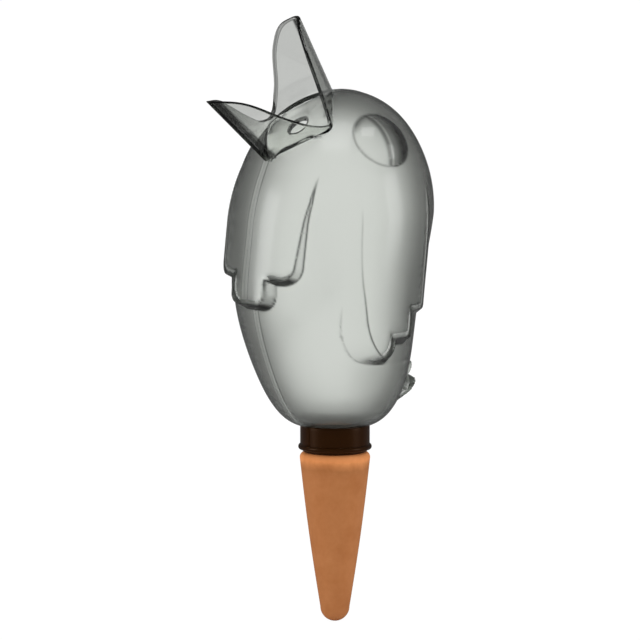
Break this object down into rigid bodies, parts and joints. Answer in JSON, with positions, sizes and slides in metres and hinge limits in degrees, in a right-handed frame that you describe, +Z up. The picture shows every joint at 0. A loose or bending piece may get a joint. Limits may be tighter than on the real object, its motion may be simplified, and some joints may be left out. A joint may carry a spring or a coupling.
{
  "type": "self-watering spike",
  "caption": "Clear bird-shaped water reservoir with an open beak for filling, screwed into a brown collar on a porous clay cone that is pushed into potting soil.",
  "frame": {"origin": "on the cone's axis at the soil line, where the collar sits on the clay cone", "axes": "+Z up along the cone's axis, -Y the way the bird faces, +X the bird's left side"},
  "size_m": [0.0916, 0.1198, 0.2757],
  "materials": {
    "smoke_plastic": "clear smoke grey, glossy",
    "brown_plastic": "dark brown, glossy",
    "fired_clay": "unglazed terracotta, matt and porous",
    "seal_rubber": "soft black rubber",
    "adhesive": "cured adhesive"
  },
  "bodies": {
    "spike": {"thread_collar": "brown_plastic", "clay_cone": "fired_clay", "bond_ring": "adhesive"},
    "seal": {"neck_seal": "seal_rubber"},
    "bird": {"left_shell": "smoke_plastic", "right_shell": "smoke_plastic"}
  },
  "joints": [
    {"name": "neck_lift", "type": "slide", "parent": "spike", "child": "seal", "axis": [0, 0, 1], "range_m": [0, 0.00605]},
    {"name": "neck_turn", "type": "hinge", "parent": "seal", "child": "bird", "pos_m": [0, 0, 0.0035], "axis": [0, 0, 1], "range_deg": [0, 540]}
  ],
  "couplings": [
    {"joint": "neck_lift", "follows": "neck_turn", "m_per_rad": 0.00063662}
  ]
}
